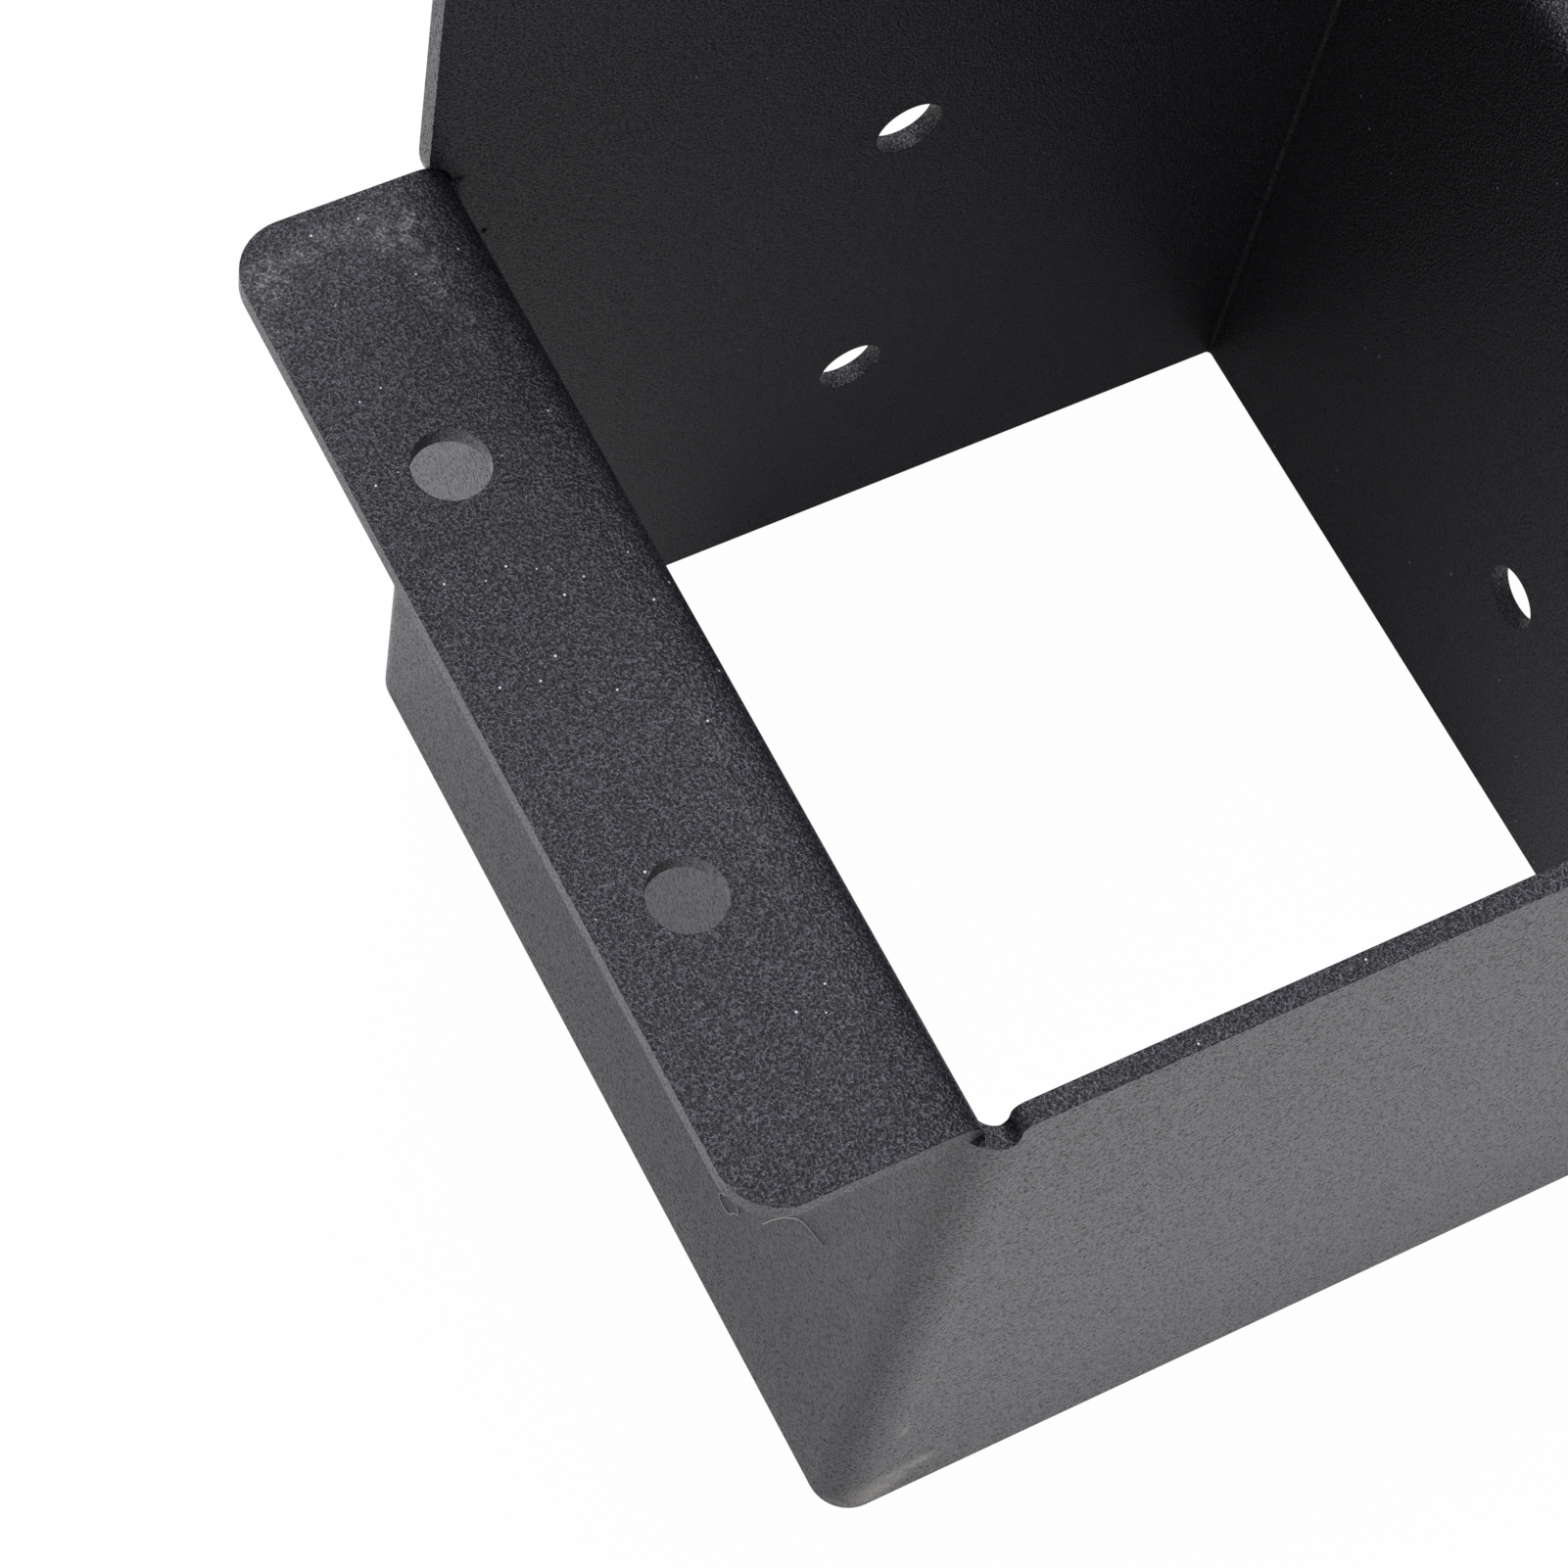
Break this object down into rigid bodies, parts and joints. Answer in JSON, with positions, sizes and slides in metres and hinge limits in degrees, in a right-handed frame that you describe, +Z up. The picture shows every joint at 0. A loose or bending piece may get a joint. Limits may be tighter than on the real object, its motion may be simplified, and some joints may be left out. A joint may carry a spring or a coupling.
{
  "type": "pergola bracket",
  "caption": "Folded steel post-to-beam bracket: a square socket for a post, two outward flanges as the beam's seat and a tall back plate, all with screw holes.",
  "frame": {"origin": "middle of the square post socket, on its bottom rim", "axes": "+Z up the post; +Y towards the back wall and its tall plate; the beam runs along X over the two flanges"},
  "size_m": [0.13, 0.0938, 0.17],
  "materials": {
    "powder_coat": "black fine-texture powder coat on folded sheet steel"
  },
  "bodies": {
    "root": {"bracket": "powder_coat"}
  },
  "joints": []
}
